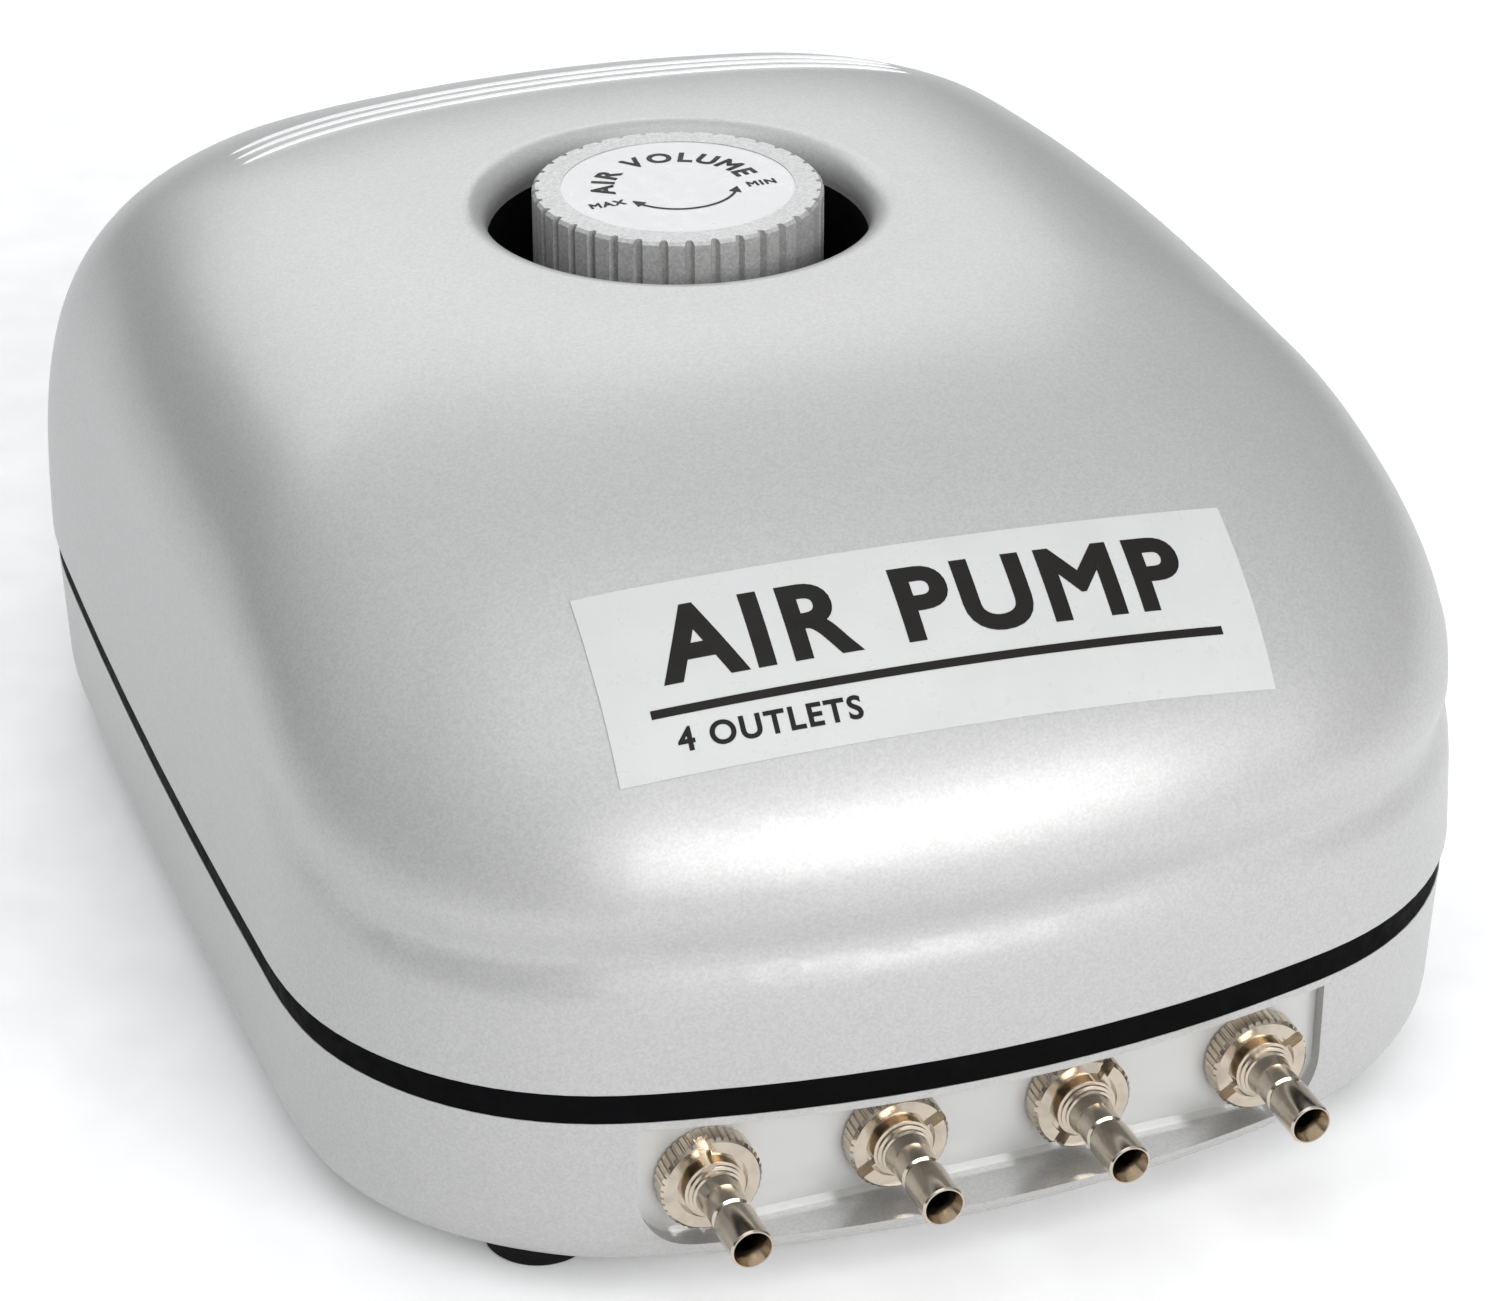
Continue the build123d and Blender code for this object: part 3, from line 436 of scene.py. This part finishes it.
DISC_WORDS = "AIR VOLUME"
DISC_WORDS_RADIUS = 9.3 * MM
DISC_WORDS_SIZE, DISC_WORDS_WEIGHT = 4.0 * MM, 0.13 * MM
DISC_LETTER_GAP, DISC_WORD_GAP = 0.55 * MM, 1.7 * MM
END_WORD_SIZE, END_WORD_WEIGHT = 2.0 * MM, 0.06 * MM
END_WORD_X, END_WORD_Y = 10.2 * MM, -2.6 * MM
DISC_ARC = 7.4 * MM
DISC_ARC_ENDS = (math.radians(-146), math.radians(-34))
DISC_ARC_STEPS = 32
DISC_ARC_HALF_WIDTH = 0.16 * MM
ARROW_LENGTH, ARROW_HALF_WIDTH = 1.7 * MM, 0.8 * MM


def arched_words(shape):
    """Adds the disc's words, each letter upright on an arc and spaced by its own width."""
    reach = 0.0
    letters = []
    for letter in DISC_WORDS:
        if letter == " ":
            reach += DISC_WORD_GAP
            continue
        mesh = lettering(letter, DISC_WORDS_SIZE, DISC_WORDS_WEIGHT)
        half = max(vertex.co.x for vertex in mesh.vertices)
        letters.append((mesh, reach + half))
        reach += 2 * half + DISC_LETTER_GAP
    for mesh, along in letters:
        turn = ((reach - DISC_LETTER_GAP) / 2 - along) / DISC_WORDS_RADIUS
        mesh.transform(Matrix.Rotation(turn, 4, "Z") @ Matrix.Translation((0, DISC_WORDS_RADIUS, 0)))
        shape.from_mesh(mesh)


def turn_arrow(shape):
    """Adds an arc with an arrowhead at each end."""
    low, high = DISC_ARC_ENDS
    turns = [low + (high - low) * k / DISC_ARC_STEPS for k in range(DISC_ARC_STEPS + 1)]
    outer = [ring_point(DISC_ARC + DISC_ARC_HALF_WIDTH, turn) for turn in turns]
    inner = [ring_point(DISC_ARC - DISC_ARC_HALF_WIDTH, turn) for turn in reversed(turns)]
    printed_area(shape, outer + inner)
    for turn, way in ((low, -1), (high, 1)):
        tip = turn + way * ARROW_LENGTH / DISC_ARC
        head = [ring_point(DISC_ARC, tip)]
        head += [ring_point(DISC_ARC + edge * ARROW_HALF_WIDTH, turn) for edge in (1, -1)]
        printed_area(shape, head)


def disc_print():
    """Arched words, two small words and a double-headed arc on the knob's disc."""
    shape = bmesh.new()
    arched_words(shape)
    for word, side in (("MAX", -1), ("MIN", 1)):
        mesh = lettering(word, END_WORD_SIZE, END_WORD_WEIGHT, spacing=1.15)
        mesh.transform(Matrix.Translation((side * END_WORD_X, END_WORD_Y, 0)))
        shape.from_mesh(mesh)
    turn_arrow(shape)
    mesh = finished(shape, "disc_print")
    disc_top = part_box("knob_label")[1].z
    mesh.transform(Matrix.Translation((KNOB_CENTRE.x, KNOB_CENTRE.y, disc_top + INK_LIFT)))
    add("disc_print", mesh, INK, "control_knob")


LABEL_TURN = math.radians(-2.0)
HEADING_SIZE, HEADING_WEIGHT, HEADING_Y = 12.6 * MM, 0.42 * MM, 2.9 * MM
RULE_HALF, RULE_LOW, RULE_HIGH = 33.5 * MM, -4.9 * MM, -3.9 * MM
SMALL_SIZE, SMALL_WEIGHT, SMALL_X, SMALL_Y = 3.7 * MM, 0.10 * MM, -21 * MM, -7.9 * MM
LONGEST_EDGE = 1.5 * MM    # short enough for the print to follow the curve of the label
ABOVE_LABEL = 20 * MM


def label_artwork():
    """Plain heading, a rule and a small line, flat, in fine enough triangles to be laid on a curve."""
    shape = bmesh.new()
    heading = lettering("AIR PUMP", HEADING_SIZE, HEADING_WEIGHT, spacing=1.16)
    heading.transform(Matrix.Translation((0, HEADING_Y, 0)))
    small = lettering("4 OUTLETS", SMALL_SIZE, SMALL_WEIGHT, spacing=1.15)
    small.transform(Matrix.Translation((SMALL_X, SMALL_Y, 0)))
    for mesh in (heading, small):
        shape.from_mesh(mesh)
    rule = [(-RULE_HALF, RULE_LOW), (RULE_HALF, RULE_LOW), (RULE_HALF, RULE_HIGH), (-RULE_HALF, RULE_HIGH)]
    printed_area(shape, rule)
    bmesh.ops.triangulate(shape, faces=shape.faces)
    for _ in range(6):
        long_edges = [edge for edge in shape.edges if edge.calc_length() > LONGEST_EDGE]
        bmesh.ops.subdivide_edges(shape, edges=long_edges, cuts=1)
        bmesh.ops.triangulate(shape, faces=shape.faces)
    return shape


def label_print():
    """Lays the artwork on the front label."""
    shape = label_artwork()
    low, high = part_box("front_label")
    tilt = math.atan2(high.z - low.z, high.y - low.y)
    normal = Vector((0, -math.sin(tilt), math.cos(tilt)))
    lay = Matrix.Translation((low + high) / 2)
    lay = lay @ Matrix.Rotation(tilt, 4, "X") @ Matrix.Rotation(LABEL_TURN, 4, "Z")
    tree = skin_of("front_label")
    for vertex in shape.verts:
        height = vertex.co.z
        above = lay @ Vector((vertex.co.x, vertex.co.y, ABOVE_LABEL))
        place, _, _, _ = tree.ray_cast(above, -normal)
        if place is None:
            raise ValueError("the label's print runs off the label")
        vertex.co = place + normal * (INK_LIFT + height)
    add("label_print", finished(shape, "label_print"), INK, "housing")


rear_ridges()
disc_print()
label_print()

# ---- Camera, light and floor --------------------------------------------------------


def direction(azimuth, elevation):
    """Unit vector from the object towards a viewer; azimuth 0 is the front, positive to the right."""
    a, e = math.radians(azimuth), math.radians(elevation)
    return Vector((math.sin(a) * math.cos(e), -math.cos(a) * math.cos(e), math.sin(e)))


VIEW_AZIMUTH, VIEW_ELEVATION, VIEW_DISTANCE = -20.37, 28.66, 0.5638
VIEW_RIGHT, VIEW_DOWN = 0.00571, 0.00107    # framing, off the centre of the seam
LENS, SENSOR = 104.16, 36.0


def camera():
    back = direction(VIEW_AZIMUTH, VIEW_ELEVATION)
    turn = (-back).to_track_quat("-Z", "Y")
    right, up = turn @ Vector((1, 0, 0)), turn @ Vector((0, 1, 0))
    made = bpy.data.objects.new("camera", bpy.data.cameras.new("camera"))
    made.data.lens = LENS
    made.data.sensor_width = SENSOR
    seam_centre = Vector((0, HOOD_CENTRE.y, SEAM_Z))
    made.location = seam_centre + back * VIEW_DISTANCE + right * VIEW_RIGHT - up * VIEW_DOWN
    made.rotation_mode = "QUATERNION"
    made.rotation_quaternion = turn
    bpy.context.scene.collection.objects.link(made)
    bpy.context.scene.camera = made


def softbox(name, azimuth, elevation, distance, size, power):
    towards = direction(azimuth, elevation)
    lamp = bpy.data.lights.new(name, "AREA")
    lamp.shape = "RECTANGLE"
    lamp.size, lamp.size_y = size
    lamp.energy = power
    made = bpy.data.objects.new(name, lamp)
    made.location = HOOD_CENTRE + towards * distance
    made.rotation_mode = "QUATERNION"
    made.rotation_quaternion = towards.to_track_quat("Z", "Y")
    bpy.context.scene.collection.objects.link(made)


HORIZON, ZENITH = 0.03, 0.66    # strength of the sky
ZENITH_RISE = 0.8                # upward share of a direction from which the sky is at its brightest
FLOOR_RADIUS = 4.0
FLOOR_GLOW = 0.08

SOFTBOXES = (                    # name, azimuth, elevation, distance, size, power
    ("key", 12, 24, 1.4, (1.2, 0.5), 13.0),
    ("top", -20, 78, 1.5, (1.4, 1.4), 5.5),
    ("low_front", 22, 5, 1.3, (1.0, 0.25), 0.3),
    ("left", -75, 55, 1.6, (1.0, 1.0), 0.5),
    ("rear", 175, 32, 1.6, (1.6, 0.7), 7.5),
)


def sky():
    """World light that is brighter overhead than at the horizon."""
    world = bpy.data.worlds.new("studio")
    world.use_nodes = True
    tree = world.node_tree
    split = tree.nodes.new("ShaderNodeSeparateXYZ")
    tree.links.new(tree.nodes.new("ShaderNodeTexCoord").outputs["Generated"], split.inputs["Vector"])
    rising = tree.nodes.new("ShaderNodeMapRange")
    rising.inputs["From Min"].default_value = 0.0
    rising.inputs["From Max"].default_value = ZENITH_RISE
    rising.inputs["To Min"].default_value = HORIZON
    rising.inputs["To Max"].default_value = ZENITH
    tree.links.new(split.outputs["Z"], rising.inputs["Value"])
    tree.links.new(rising.outputs["Result"], tree.nodes["Background"].inputs["Strength"])
    tree.nodes["Background"].inputs["Color"].default_value = (0.95, 0.97, 1.0, 1.0)
    bpy.context.scene.world = world


def paper_floor():
    """White paper with a faint glow of its own, so that it fades out evenly."""
    mesh = bpy.data.meshes.new("floor")
    shape = bmesh.new()
    bmesh.ops.create_circle(shape, cap_ends=True, segments=96, radius=FLOOR_RADIUS)
    shape.to_mesh(mesh)
    floor = bpy.data.objects.new("floor", mesh)
    bpy.context.scene.collection.objects.link(floor)
    paper = plastic("floor_paper", (0.92, 0.92, 0.92), 0.9, gloss=0.1)
    face = next(n for n in paper.node_tree.nodes if n.type == "BSDF_PRINCIPLED")
    face.inputs["Emission Color"].default_value = (1.0, 1.0, 1.0, 1.0)
    face.inputs["Emission Strength"].default_value = FLOOR_GLOW
    mesh.materials.append(paper)


def studio():
    """Sky, floor and soft boxes, shown with the plain view transform."""
    sky()
    bpy.context.scene.view_settings.view_transform = "Standard"
    paper_floor()
    for row in SOFTBOXES:
        softbox(*row)


camera()
studio()
